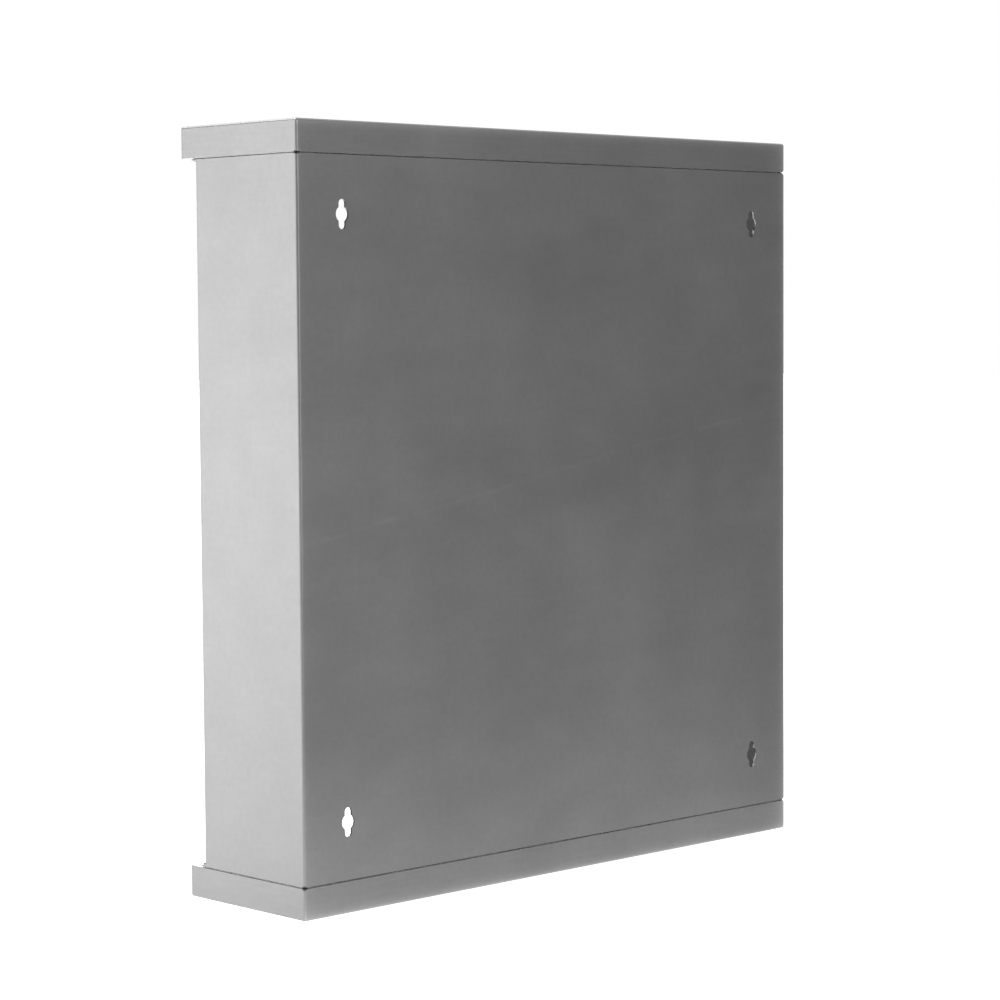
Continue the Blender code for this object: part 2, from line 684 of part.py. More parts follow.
def make_cover_hinges(hinge):
    axis = COVER_HINGE
    radius, bore, pin_radius = 0.0034, 0.0015 + PIN_CLEARANCE, 0.0015
    side = -WIDTH / 2 - GAP
    for label, z in (("upper", COVER_HINGE_Z), ("lower", -COVER_HINGE_Z)):
        low, high = z - COVER_HINGE_LENGTH / 2, z + COVER_HINGE_LENGTH / 2
        outer, middle = knuckles(axis, z, COVER_HINGE_LENGTH, radius)
        clear = [rod((*axis, low - 0.002), (*axis, high + 0.002), bore, 12) for _ in range(2)]
        leaf = add(f"cover_hinge_{label}_body_leaf",
                   box((side - 0.0012, -BODY_DEPTH, low), (side, -BODY_DEPTH + 0.0290, high)), "zinc_steel")
        room = radius + 0.0004
        cut(leaf, box((side - 0.003, axis[1] - room, middle[0] - GAP), (side + 0.002, axis[1] + room, middle[1] + GAP)))
        fuse(leaf, *outer)
        cut(leaf, clear[0])
        cover_side = -COVER_HALF_WIDTH - GAP
        swing = add(f"cover_hinge_{label}_cover_leaf",
                    box((cover_side - 0.0012, axis[1] - radius - 0.0100, low), (cover_side, axis[1] - 0.0022, high)),
                    "zinc_steel", hinge)
        web_low = (axis[0], axis[1] - radius, middle[0])
        fuse(swing, box(web_low, (cover_side - 0.0004, axis[1] - 0.0022, middle[1])))
        fuse(swing, rod((*axis, middle[0]), (*axis, middle[1]), radius))
        cut(swing, clear[1])
        make_pin(f"cover_hinge_{label}_pin", axis, z, COVER_HINGE_LENGTH, pin_radius, None)


def make_cover_latches(hinge):
    """Quarter-turn latches. Each cam stands upright when free, and turns behind the body's front lip."""
    cam_front = BODY_DEPTH - BODY_SHEET - 0.0021
    cam_back = cam_front - 0.0020
    for label, z in (("upper", COVER_LATCH_Z), ("lower", -COVER_LATCH_Z)):
        origin = (COVER_LATCH_X, -COVER_FACE, z)
        face = COVER_FACE + GAP
        shaft = rod((origin[0], -face - 0.0004, z), (origin[0], -cam_back + 0.0002, z), 0.0034)
        latch = add("cover_latch_" + label, shaft, "zinc_steel", hinge, origin)
        pieces = (
            rod((origin[0], -face - 0.0026, z), (origin[0], -face, z), 0.0085, 24),
            box((origin[0] - 0.0017, -face - 0.0060, z - 0.0072), (origin[0] + 0.0017, -face - 0.0020, z + 0.0072)),
            box((origin[0] - 0.0055, -cam_front, z - 0.0060), (origin[0] + 0.0055, -cam_back, z + 0.0180)),
        )
        for bm in pieces:
            fuse_at(latch, bm, origin)


def make_door(door_hinge):
    width = WINDOW_HALF_WIDTH - DOOR_MARGIN
    low_z, high_z = WINDOW_LOW + DOOR_MARGIN, WINDOW_HIGH - DOOR_MARGIN
    shell = open_box((-width, -COVER_FACE, low_z), (width, -COVER_FACE + DOOR_DEPTH, high_z), (0, 1, 0))
    door = add("inner_door", shell, "painted_steel", door_hinge)
    fold(door, 0.0016, COVER_SHEET)
    axis, radius, pin_radius = DOOR_HINGE, 0.0024, 0.0010
    bore = pin_radius + PIN_CLEARANCE
    for label, z in DOOR_HINGE_ZS:
        low, high = z - DOOR_HINGE_LENGTH / 2, z + DOOR_HINGE_LENGTH / 2
        outer, middle = knuckles(axis, z, DOOR_HINGE_LENGTH, radius)
        web_low = (axis[0] + 0.0004, axis[1] + 0.0012, middle[0])
        fuse(door, box(web_low, (-width + 0.0040, -COVER_FACE + 0.0006, middle[1])))
        fuse(door, rod((*axis, middle[0]), (*axis, middle[1]), radius))
        cut(door, rod((*axis, low - 0.002), (*axis, high + 0.002), bore, 12))
        face = COVER_FACE + GAP
        leaf = add(f"door_hinge_{label}_leaf",
                   box((-0.0920, -face - 0.0012, low), (axis[0] - 0.0006, -face, high)), "zinc_steel", door_hinge.parent)
        room = radius + 0.0004
        cut(leaf, box((axis[0] - room, -0.125, middle[0] - GAP), (axis[0] + room, -0.110, middle[1] + GAP)))
        fuse(leaf, *outer)
        cut(leaf, rod((*axis, low - 0.002), (*axis, high + 0.002), bore, 12))
        make_pin(f"door_hinge_{label}_pin", axis, z, DOOR_HINGE_LENGTH, pin_radius, door_hinge.parent)
    bolt_low = (width - 0.003, -BOLT_FRONT - 0.0007, DOOR_LATCH_Z - 0.0095)
    cut(door, box(bolt_low, (width + 0.003, -BOLT_FRONT + 0.0029, DOOR_LATCH_Z + 0.0095)))
    cut(door, box((0.0500, -0.120, DOOR_LATCH_Z - 0.0040), (0.0650, -0.112, DOOR_LATCH_Z + 0.0040)))
    card_back = COVER_FACE - COVER_SHEET - GAP
    add("directory_card", box((-0.0560, -card_back, -0.0700), (0.0340, -card_back + 0.0005, 0.1400)), "card", door_hinge)


def make_door_latch(door_hinge):
    """A thumb slide on the door's face, whose bolt runs out behind the cover's face."""
    z = DOOR_LATCH_Z
    origin = (0.0545, -COVER_FACE, z)
    face = COVER_FACE + GAP
    knob = box((0.0470, -face - 0.0045, z - 0.0110), (0.0620, -face, z + 0.0110))
    latch = add("door_latch", knob, "black_moulding", door_hinge, origin)
    fuse_at(latch, box((0.0510, -face - 0.0010, z - 0.0035), (0.0580, -BOLT_FRONT + 0.0015, z + 0.0035)), origin)
    fuse_at(latch, box((0.0480, -BOLT_FRONT, z - 0.0080), (0.0727, -BOLT_FRONT + 0.0020, z + 0.0080)), origin)
    for i in range(3):
        x = 0.0510 + 0.0035 * i
        cut(latch, box((x, -face - 0.0060, z - 0.0130), (x + 0.0012, -face - 0.0034, z + 0.0130)))
        tool = latch.modifiers[-1].object
        tool.data.transform(Matrix.Translation(-Vector(origin)))
        tool.location = origin


def main():
    make_wrap()
    make_cap("top_cap", 1)
    make_cap("bottom_cap", -1)
    make_pan()
    make_bus()
    make_rails()
    make_main_breaker()
    for side_name, row, poles in BREAKERS:
        make_breaker(side_name, row, poles)
    make_neutral()
    make_ground_bar()
    hinge = pivot("cover_hinge_axis", (*COVER_HINGE, 0.0))
    make_cover(hinge)
    make_dead_front(hinge)
    make_cover_hinges(hinge)
    make_cover_latches(hinge)
    door_hinge = pivot("door_hinge_axis", (*DOOR_HINGE, 0.0), hinge)
    make_door(door_hinge)
    make_door_latch(door_hinge)
    hinge.rotation_euler.z = -COVER_OPEN


main()
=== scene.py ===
"""Looks of the residential load center.

Materials, small pieces, studio and camera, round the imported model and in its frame: metres, +Z up, and
the enclosure's front towards -Y.
"""
import json
import math
import random

import bmesh
import bpy
from mathutils import Matrix, Quaternion, Vector


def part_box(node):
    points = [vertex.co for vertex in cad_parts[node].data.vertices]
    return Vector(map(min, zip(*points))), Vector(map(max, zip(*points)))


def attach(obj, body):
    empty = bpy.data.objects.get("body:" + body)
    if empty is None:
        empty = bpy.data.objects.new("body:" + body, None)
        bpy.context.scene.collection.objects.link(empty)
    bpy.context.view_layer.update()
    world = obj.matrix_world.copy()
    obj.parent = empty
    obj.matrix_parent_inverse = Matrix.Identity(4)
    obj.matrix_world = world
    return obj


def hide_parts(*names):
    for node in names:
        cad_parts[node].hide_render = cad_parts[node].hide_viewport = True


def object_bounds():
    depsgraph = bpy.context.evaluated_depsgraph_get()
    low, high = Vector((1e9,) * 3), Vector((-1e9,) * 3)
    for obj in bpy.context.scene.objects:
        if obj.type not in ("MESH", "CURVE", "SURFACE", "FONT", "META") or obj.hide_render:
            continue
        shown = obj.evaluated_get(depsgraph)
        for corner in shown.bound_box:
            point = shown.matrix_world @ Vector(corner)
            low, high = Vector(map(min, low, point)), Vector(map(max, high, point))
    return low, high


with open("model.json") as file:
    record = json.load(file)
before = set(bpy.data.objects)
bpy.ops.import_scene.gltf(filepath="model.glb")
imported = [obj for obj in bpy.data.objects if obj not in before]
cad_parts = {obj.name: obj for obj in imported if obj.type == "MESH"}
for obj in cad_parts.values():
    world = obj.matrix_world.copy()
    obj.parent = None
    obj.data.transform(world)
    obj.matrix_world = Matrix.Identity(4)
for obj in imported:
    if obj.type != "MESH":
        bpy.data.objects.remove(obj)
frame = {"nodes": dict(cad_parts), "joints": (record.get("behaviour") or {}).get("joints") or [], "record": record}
NODES = frame["nodes"]
CAD_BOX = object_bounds()

# Camera: its place, heading round from the front, tilt, roll and lens
CAMERA_PLACE = (1.3929, 1.3897, 0.1322)
CAMERA_AZIMUTH = math.radians(136.176)
CAMERA_ELEVATION = math.radians(3.748)
CAMERA_ROLL = math.radians(-0.387)
CAMERA_LENS_MM = 103.522
SENSOR_MM = 36.0

# Enclosure shell, whose back lies at y = 0: half width, half height, front lips, how deep a face lies
# before it is an inner one, and how deep at most an outer one lies
SHELL_HALF_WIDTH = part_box("enclosure_body")[1].x
SHELL_HALF_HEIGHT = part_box("top_cap")[1].z
SHELL_FRONT = -0.1014
INNER_FACE = 0.0009
OUTER_FACE = 0.0006

# Cap seams: heights of their lower edge, step and upper edge; depth where their faces start, and where
# they end below and above the step; and how far they keep from the shell's back corners
SEAM_LOW, SEAM_STEP, SEAM_HIGH = 0.2302, 0.2311, 0.2340
SEAM_FACE, SEAM_SHALLOW, SEAM_DEEP = 0.0005, 0.0008, 0.0025
SEAM_CORNER = 0.0040
# How much the seams' recessed faces are lightened in colour: painted light
SEAM_PAINTED_LIGHT = 2.8

# Faint bright line across the back sheet: its slant, and its height at the middle
BRIGHT_LINE_TILT = math.radians(9.53)
BRIGHT_LINE_HEIGHT = 0.0236

ZINC = (0.215, 0.215, 0.215)
# Dark grey of the enclosure's inner faces: painted shade
INSIDE_SHADE = (0.046, 0.048, 0.050)

# Cover: its swing from shut, which is the low end of its joint's range, to where it stands at rest
COVER_SWING = next(joint for joint in frame["joints"] if joint["name"] == "cover_swing")
COVER_HINGE = Vector(COVER_SWING["pos_m"])
TO_OPEN = (Matrix.Translation(COVER_HINGE)
           @ Matrix.Rotation(math.radians(COVER_SWING["range_deg"][0]), 4, "Z")
           @ Matrix.Translation(-COVER_HINGE))

# Terminal bars: depth of the one on feet, pitch, and their wire holes and set screws
FOOTED_BAR_DEPTH = 0.0100
WIRE_PITCH = 0.0087
WIRE_DEPTH = 0.0066
WIRE_RADIUS = 0.0025
SCREW_HOLE_RADIUS = 0.0024
SET_SCREW_RADIUS = 0.0021
SET_SCREW_DEPTH = 0.0042

# Feet of the ground bar, and the screws that hold them
FOOT_HALF_HEIGHT = 0.006
FOOT_INSET = 0.001
FOOT_SCREW_RADIUS, FOOT_SCREW_CROWN = 0.0038, 0.0030
FOOT_SCREW_HEIGHT = 0.0024

# Lug set screws: how far below the lug's face, length, depth of the socket, and height in a main lug
LUG_RECESS = 0.0009
LUG_SCREW_LENGTH = 0.0065
LUG_SOCKET_DEPTH = 0.0042
MAIN_LUG_SCREW_RISE = 0.0127

# Branch breakers: the pitch of their poles, and their terminal screws, with how far these lie to each
# side and the y of their seat and top
BRANCH_BREAKERS = (
    "left_breaker_1", "left_breaker_3", "left_breaker_4", "left_breaker_5",
    "right_breaker_1", "right_breaker_2", "right_breaker_3", "right_breaker_5",
)
POLE_PITCH = 0.0254
TERMINAL_ACROSS = 0.0745
TERMINAL_SEAT, TERMINAL_TOP = -0.0761, -0.0792

# Blank labels: the y of their seat and top, and their edges on a branch pole and on the main breaker
LABEL_SEAT, LABEL_TOP = -0.0920, -0.0922
LABEL_INNER, LABEL_OUTER = 0.0540, 0.0685
LABEL_HALF_HEIGHT = 0.0085
MAIN_LABEL_HALF_WIDTH = 0.0270
MAIN_LABEL_LOW, MAIN_LABEL_HIGH = 0.1500, 0.1630

# Hinge rivets, with the cover closed: size, the faces that they stand on, where on those, and spacing
RIVET_RADIUS, RIVET_CROWN, RIVET_HEIGHT = 0.0025, 0.0015, 0.0009
COVER_HINGE_HEIGHTS = {"upper": 0.1500, "lower": -0.1500}
BODY_LEAF_FACE, BODY_LEAF_Y = -0.2350, -0.0830
COVER_LEAF_FACE, COVER_LEAF_Y = -0.2335, -0.1118
COVER_RIVET_PITCH = 0.022
DOOR_HINGE_HEIGHTS = {"upper": 0.1300, "lower": -0.0700}
DOOR_LEAF_X, DOOR_LEAF_FACE = -0.0860, -0.1183
DOOR_RIVET_OFFSET = 0.009

# Floor: tone, the heading along which its glow falls off, and where along that it starts and ends
FLOOR_TONE = 0.65
GLOW_X, GLOW_Y = -0.34, 0.94
GLOW_START, GLOW_END = -0.28, 0.48

rng = random.Random(7)


# Materials

class Nodes:
    """A material's node tree, with short calls to add and join nodes."""

    def __init__(self, name):
        self.material = bpy.data.materials.new(name)
        self.material.use_nodes = True
        self.tree = self.material.node_tree
        self.shader = self.tree.nodes["Principled BSDF"]
        self.place = self.add("ShaderNodeTexCoord").outputs["Object"]
        split = self.add("ShaderNodeSeparateXYZ")
        self.link(self.place, split.inputs["Vector"])
        self.x, self.y, self.z = (split.outputs[axis] for axis in "XYZ")

    def add(self, kind, **settings):
        node = self.tree.nodes.new(kind)
        for key, value in settings.items():
            setattr(node, key, value)
        return node

    def link(self, source, target):
        self.tree.links.new(source, target)

    def math(self, operation, *values):
        """A math node whose inputs are sockets or numbers."""
        node = self.add("ShaderNodeMath", operation=operation)
        for value, socket in zip(values, node.inputs):
            if isinstance(value, (int, float)):
                socket.default_value = value
            else:
                self.link(value, socket)
        return node.outputs["Value"]

    def noise(self, scale, stretch=(1, 1, 1), detail=2.0, rough=0.5):
        """Noise in the row frame's metres, stretched along the axes where stretch is small."""
        mapping = self.add("ShaderNodeMapping")
        mapping.inputs["Scale"].default_value = stretch
        self.link(self.place, mapping.inputs["Vector"])
        node = self.add("ShaderNodeTexNoise")
        node.inputs["Scale"].default_value = scale
        node.inputs["Detail"].default_value = detail
        node.inputs["Roughness"].default_value = rough
        self.link(mapping.outputs["Vector"], node.inputs["Vector"])
        return node.outputs["Fac"]

    def ramp(self, source, low, high, start=0.3, end=0.7):
        node = self.add("ShaderNodeMapRange")
        for key, value in (("From Min", start), ("From Max", end), ("To Min", low), ("To Max", high)):
            node.inputs[key].default_value = value
        self.link(source, node.inputs["Value"])
        return node.outputs["Result"]

    def product(self, *sources):
        result = sources[0]
        for other in sources[1:]:
            result = self.math("MULTIPLY", result, other)
        return result

    def tint(self, colour, factor):
        """The colour times a factor that varies over the surface."""
        node = self.add("ShaderNodeVectorMath", operation="SCALE")
        node.inputs[0].default_value = colour
        self.link(factor, node.inputs["Scale"])
        return node.outputs["Vector"]

    def mix(self, mask, first, second):
        """The first colour where mask is 0, and the second where it is 1."""
        node = self.add("ShaderNodeMix", data_type="RGBA")
        self.link(mask, node.inputs["Factor"])
        self.link(first, node.inputs["A"])
        self.link(second, node.inputs["B"])
        return node.outputs["Result"]

    def bump(self, *layers):
        """Stacks height signals, each given with its distance in metres."""
        normal = None
        for height, distance in layers:
            node = self.add("ShaderNodeBump")
            node.inputs["Distance"].default_value = distance
            node.inputs["Strength"].default_value = 1.0
            self.link(height, node.inputs["Height"])
            if normal is not None:
                self.link(normal, node.inputs["Normal"])
            normal = node.outputs["Normal"]
        self.link(normal, self.shader.inputs["Normal"])

    def finish(self, colour, roughness, metallic):
        self.link(colour, self.shader.inputs["Base Color"])
        self.link(roughness, self.shader.inputs["Roughness"])
        if isinstance(metallic, float):
            self.shader.inputs["Metallic"].default_value = metallic
        else:
            self.link(metallic, self.shader.inputs["Metallic"])
        return self.material


def from_side(n):
    """How far a point lies inwards from the enclosure's nearer side."""
    return n.math("SUBTRACT", SHELL_HALF_WIDTH, n.math("ABSOLUTE", n.x))


def from_end(n):
    """How far a point lies inwards from the enclosure's nearer end."""
    return n.math("SUBTRACT", SHELL_HALF_HEIGHT, n.math("ABSOLUTE", n.z))


def from_back(n):
    return n.math("MULTIPLY", n.y, -1.0)


def on_back(n):
    """1 on the outer face of the back, and 0 elsewhere."""
    return n.math("GREATER_THAN", n.y, -OUTER_FACE)


def depth_in_shell(n):
    """How far a face lies below the enclosure's side and back faces."""
    return n.math("MINIMUM", from_side(n), from_back(n))


def inside_shell(n, depth):
    """1 on the faces inside the enclosure, and 0 on its outer faces and front lips."""
    behind_lips = n.math("SUBTRACT", n.y, SHELL_FRONT)
    shallowest = n.math("MINIMUM", depth, n.math("MINIMUM", behind_lips, from_end(n)))
    return n.math("GREATER_THAN", shallowest, INNER_FACE)


def seam(n, depth):
    """1 on the recessed faces of the seams between the body and its caps, clear of the back corners."""
    height = n.math("ABSOLUTE", n.z)
    above = n.math("GREATER_THAN", height, SEAM_LOW)
    below = n.math("LESS_THAN", height, SEAM_HIGH)
    recessed = n.math("GREATER_THAN", depth, SEAM_FACE)
    outer = n.math("LESS_THAN", depth, n.ramp(height, SEAM_SHALLOW, SEAM_DEEP, SEAM_LOW, SEAM_STEP))
    clear = n.math("GREATER_THAN", n.math("MAXIMUM", from_side(n), from_back(n)), SEAM_CORNER)
    return n.product(above, below, recessed, outer, clear)


def back_marks(n):
    """Uneven zinc on the back, and a faint bright line across it, wavy and broken, as a factor near 1."""
    reach = n.math("ADD", n.math("MULTIPLY", n.x, math.sin(BRIGHT_LINE_TILT)),
                   n.math("MULTIPLY", n.z, math.cos(BRIGHT_LINE_TILT)))
    wander = n.ramp(n.noise(14.0), -0.0016, 0.0016)
    off = n.math("ABSOLUTE", n.math("ADD", n.math("SUBTRACT", reach, BRIGHT_LINE_HEIGHT), wander))
    line = n.ramp(off, 1.0, 0.0, 0.0002, 0.0024)
    broken = n.ramp(n.noise(35.0, detail=3.0), 0.0, 0.085)
    drift = n.ramp(n.noise(5.6, (1.0, 1.0, 1.6)), -0.075, 0.075)
    blotch = n.ramp(n.noise(45.0, (0.5, 0.5, 1.0), detail=3.0), -0.032, 0.032)
    marks = n.math("ADD", n.product(line, broken), n.math("ADD", drift, blotch))
    return n.math("ADD", 1.0, n.product(marks, on_back(n)))


def painted_edge_highlights(n, highlight_spread):
    """Painted highlights: paler zinc towards the outer edges of the back and side sheets, as a factor of 1 or
    more.
    """
    def painted_light(distance, amount, reach):
        """The amount at the edge itself, which falls off within a few times the reach."""
        return n.math("MULTIPLY", n.math("EXPONENT", n.math("MULTIPLY", distance, -1.0 / reach)), amount)

    right = n.math("SUBTRACT", SHELL_HALF_WIDTH, n.x)
    left = n.math("ADD", SHELL_HALF_WIDTH, n.x)
    end = from_end(n)
    upright = n.math("ADD", painted_light(left, 1.8, 0.0013), painted_light(left, 0.32 * highlight_spread, 0.0050 * highlight_spread))
    back = n.math("ADD", upright, n.math("ADD", painted_light(right, 0.22, 0.0025), painted_light(end, 0.80, 0.0022)))
    side = n.product(painted_light(end, 0.12, 0.0015), n.math("LESS_THAN", from_side(n), OUTER_FACE))
    return n.math("ADD", 1.0, n.math("ADD", n.product(back, on_back(n)), side))


# The last argument spreads the painted edge highlights wider.
def enclosure_steel(name, brushing, highlight_spread):
    """Zinc-coated sheet: mottled and faintly brushed outside with painted highlights towards its edges, darkened
    inside as painted shade, and lightened in its seams as painted light.
    """
    n = Nodes(name)
    depth = depth_in_shell(n)
    in_seam = seam(n, depth)
    inside = n.math("MULTIPLY", inside_shell(n, depth), n.math("SUBTRACT", 1.0, in_seam))
    cloud = n.ramp(n.noise(11.0, detail=4.0, rough=0.6), 0.972, 1.028)
    mottle = n.ramp(n.noise(210.0, detail=3.0, rough=0.6), 0.965, 1.035)
    along = (0.06, 0.06, 1.0)
    brush = n.ramp(n.noise(520.0, along, detail=3.0, rough=0.6), 1 - brushing, 1 + brushing)
    # Painted light: the recessed faces of the seams are lightened
    painted_light = n.math("ADD", 1.0, n.math("MULTIPLY", in_seam, SEAM_PAINTED_LIGHT))
    # The outer colour carries the painted highlights along the edges of the back and side sheets.
    outer = n.tint(ZINC, n.product(cloud, mottle, brush, painted_light, back_marks(n), painted_edge_highlights(n, highlight_spread)))
    speck = n.ramp(n.noise(500.0, detail=3.0), 0.85, 1.15)
    # Painted shade: the inner faces are darkened to a dull dark grey
    painted_inner_shade = n.tint(INSIDE_SHADE, n.product(n.ramp(n.noise(16.0, detail=3.0), 0.88, 1.12), speck))
    zinc = n.ramp(n.noise(30.0, detail=4.0), 0.40, 0.44)
    rough = n.math("ADD", zinc, n.math("MULTIPLY", inside, 0.24))
    metallic = n.math("SUBTRACT", 1.0, n.math("MULTIPLY", inside, 0.85))
    n.bump((n.noise(420.0, along), 0.000006), (n.noise(650.0), 0.000006))
    return n.finish(n.mix(inside, outer, painted_inner_shade), rough, metallic)


def sheet_steel(name, colour, grain, roughness):
    """Plain galvanised sheet with spangle and a rolled grain."""
    n = Nodes(name)
    cells = n.add("ShaderNodeTexVoronoi")
    cells.inputs["Scale"].default_value = 150.0
    n.link(n.place, cells.inputs["Vector"])
    spangle = n.ramp(cells.outputs["Color"], 0.93, 1.07, 0.0, 1.0)
    cloud = n.ramp(n.noise(9.0, detail=3.0), 0.95, 1.05)
    streak = n.ramp(n.noise(60.0, grain, detail=4.0, rough=0.7), 0.96, 1.04)
    rough = n.ramp(n.noise(30.0, detail=4.0), roughness - 0.04, roughness + 0.04)
    n.bump((n.noise(400.0, grain), 0.00001), (n.noise(700.0), 0.00001))
    return n.finish(n.tint(colour, n.product(cloud, spangle, streak)), rough, 1.0)


def powder_coat(name, colour):
    """Satin paint with a fine orange peel."""
    n = Nodes(name)
    shade = n.product(n.ramp(n.noise(12.0, detail=3.0), 0.96, 1.04), n.ramp(n.noise(900.0), 0.96, 1.04))
    rough = n.ramp(n.noise(60.0, detail=3.0), 0.40, 0.52)
    n.bump((n.noise(500.0), 0.00005))
    return n.finish(n.tint(colour, shade), rough, 0.0)


def moulding(name, colour, roughness):
    """Moulded plastic with a fine texture."""
    n = Nodes(name)
    shade = n.product(n.ramp(n.noise(25.0, detail=3.0), 0.88, 1.12), n.ramp(n.noise(1500.0), 0.90, 1.10))
    rough = n.ramp(n.noise(90.0, detail=3.0), roughness - 0.06, roughness + 0.06)
    n.bump((n.noise(1800.0, detail=1.0), 0.00003))
    return n.finish(n.tint(colour, shade), rough, 0.0)


def bar_metal(name, colour, grain, roughness):
    """Drawn or extruded bar, with die lines along it."""
    n = Nodes(name)
    lines = n.ramp(n.noise(260.0, grain, detail=3.0), 0.90, 1.10)
    shade = n.product(n.ramp(n.noise(20.0, detail=3.0), 0.90, 1.10), lines)
    rough = n.ramp(n.noise(150.0, grain, detail=3.0), roughness - 0.07, roughness + 0.07)
    n.bump((n.noise(300.0, grain), 0.00002))
    return n.finish(n.tint(colour, shade), rough, 1.0)


def card_stock(name, colour, pitch):
    """Card with blank ruled lines at a pitch; none where pitch is 0."""
    n = Nodes(name)
    shade = n.ramp(n.noise(700.0, detail=3.0), 0.95, 1.05)
    if pitch:
        row = n.math("FRACT", n.math("DIVIDE", n.math("ADD", n.z, 1.0), pitch))
        ink = n.math("MULTIPLY", n.math("LESS_THAN", row, 0.05), -0.55)
        shade = n.math("MULTIPLY", shade, n.math("ADD", 1.0, ink))
    rough = n.ramp(n.noise(300.0), 0.78, 0.90)
    n.bump((n.noise(1500.0), 0.00002))
    return n.finish(n.tint(colour, shade), rough, 0.0)


LOOKS = {
    "enclosure_sheet": enclosure_steel("enclosure_sheet", 0.012, 1.0),
    "pan_sheet": sheet_steel("pan_sheet", (0.42, 0.43, 0.44), (0.12, 0.12, 1.0), 0.42),
    "cover_paint": powder_coat("cover_paint", (0.20, 0.208, 0.215)),
    "zinc_steel": bar_metal("zinc_steel", (0.50, 0.50, 0.48), (1, 1, 1), 0.38),
    "tinned_bus": bar_metal("tinned_bus", (0.52, 0.52, 0.50), (1, 1, 0.1), 0.36),
    "terminal_aluminium": bar_metal("terminal_aluminium", (0.50, 0.51, 0.52), (1, 1, 0.1), 0.40),
    "insulator_moulding": moulding("insulator_moulding", (0.045, 0.045, 0.048), 0.55),
    "breaker_moulding": moulding("breaker_moulding", (0.028, 0.028, 0.030), 0.48),
    "toggle_moulding": moulding("toggle_moulding", (0.020, 0.020, 0.021), 0.35),
    "green_screw": bar_metal("green_screw", (0.04, 0.30, 0.09), (1, 1, 1), 0.40),
    "card_stock": card_stock("card_stock", (0.62, 0.61, 0.57), 0.0150),
}
CAP_LOOK = enclosure_steel("cap_sheet", 0.030, 1.8)
LABEL_LOOK = card_stock("blank_label", (0.30, 0.30, 0.29), 0)


def dress_nodes():
    """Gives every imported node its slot's material and a small edge radius."""
    for row in frame["record"]["subparts"]:
        obj = NODES[row["node"]]
        obj.data.materials.clear()
        look = CAP_LOOK if row["node"] in ("top_cap", "bottom_cap") else LOOKS[row["material_slot"]]
        obj.data.materials.append(look)
        soften(obj, 0.0003)


def soften(obj, width):
    """Rounds the edges to a width and shades the rest smooth."""
    edge = obj.modifiers.new("edge", "BEVEL")
    edge.width = width
    edge.segments = 2
    edge.limit_method = "ANGLE"
    edge.angle_limit = math.radians(40)
    edge.harden_normals = True
    obj.data.shade_smooth()
    obj.data.set_sharp_from_angle(angle=math.radians(40))


# Small pieces

def rod(start, end, radius, sides=20, tip=None):
    """A closed cylinder from start to end, or a cone where tip gives its far radius."""
    bm = bmesh.new()
    start, end = Vector(start), Vector(end)
    turn = Vector((0, 0, 1)).rotation_difference(end - start).to_matrix().to_4x4()
    place = Matrix.Translation((start + end) / 2) @ turn
    far = radius if tip is None else tip
    bmesh.ops.create_cone(bm, cap_ends=True, segments=sides, radius1=radius, radius2=far,
                          depth=(end - start).length, matrix=place)
    return bm


def block(low, high):
    bm = bmesh.new()
    low, high = Vector(low), Vector(high)
    place = Matrix.Translation((low + high) / 2) @ Matrix.Diagonal((*(high - low), 1.0))
    bmesh.ops.create_cube(bm, size=1.0, matrix=place)
    return bm


def helper(parts):
    """An unseen object that holds the parts, for a Boolean."""
    joined = bmesh.new()
    for bm in parts:
        mesh = bpy.data.meshes.new("part")
        bm.to_mesh(mesh)
        bm.free()
        joined.from_mesh(mesh)
        bpy.data.meshes.remove(mesh)
    mesh = bpy.data.meshes.new("helper")
    joined.to_mesh(mesh)
    joined.free()
    obj = bpy.data.objects.new("helper", mesh)
    bpy.context.scene.collection.objects.link(obj)
    obj.hide_render = True
    return obj


def shaped(solids, cutters=(), fused=()):
    """The mesh of the solids, joined with fused and with the cutters taken away."""
    body = helper(solids)
    tools = []
    for parts, operation in ((fused, "UNION"), (cutters, "DIFFERENCE")):
        if parts:
            tool = helper(parts)
            change = body.modifiers.new(operation, "BOOLEAN")
            change.operation = operation
            change.solver = "EXACT"
            change.object = tool
            tools.append(tool)
    graph = bpy.context.evaluated_depsgraph_get()
    mesh = bpy.data.meshes.new_from_object(body.evaluated_get(graph))
    for obj in (body, *tools):
        bpy.data.objects.remove(obj)
    return mesh


def piece(name, mesh, slot, body, look=None, edge=0.0002, replaces=()):
    """A named object that rides on a body, and stands for the nodes that it replaces."""
    mesh.name = name
    obj = bpy.data.objects.new(name, mesh)
    bpy.context.scene.collection.objects.link(obj)
    mesh.materials.clear()
    mesh.materials.append(look or LOOKS[slot])
    soften(obj, edge)
    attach(obj, body)
    if replaces:
        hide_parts(*replaces)


def driver_recess(x, top, z, radius, depth, cross=False):
    """A cutter for a driver slot or cross, at a random turn in a screw head whose face is at y = top."""
    long, half = radius * 1.2, radius * 0.17
    if cross:
        long = radius
        outline = [(long, -half), (long, half), (half, half),
                   (half, long), (-half, long), (-half, half)]
        outline += [(-u, -v) for u, v in outline]
    else:
        outline = [(long, -half), (long, half), (-long, half), (-long, -half)]
    turn = Matrix.Rotation(rng.uniform(0.0, math.pi), 4, "Y")
    bm = bmesh.new()
    low = [bm.verts.new(turn @ Vector((u, -0.001, v))) for u, v in outline]
    high = [bm.verts.new(turn @ Vector((u, depth, v))) for u, v in outline]
    count = len(outline)
    bm.faces.new(low)
    bm.faces.new(high[::-1])
    for i in range(count):
        j = (i + 1) % count
        bm.faces.new((low[i], high[i], high[j], low[j]))
    bmesh.ops.recalc_face_normals(bm, faces=bm.faces)
    bmesh.ops.translate(bm, vec=(x, top, z), verts=bm.verts)
    return bm


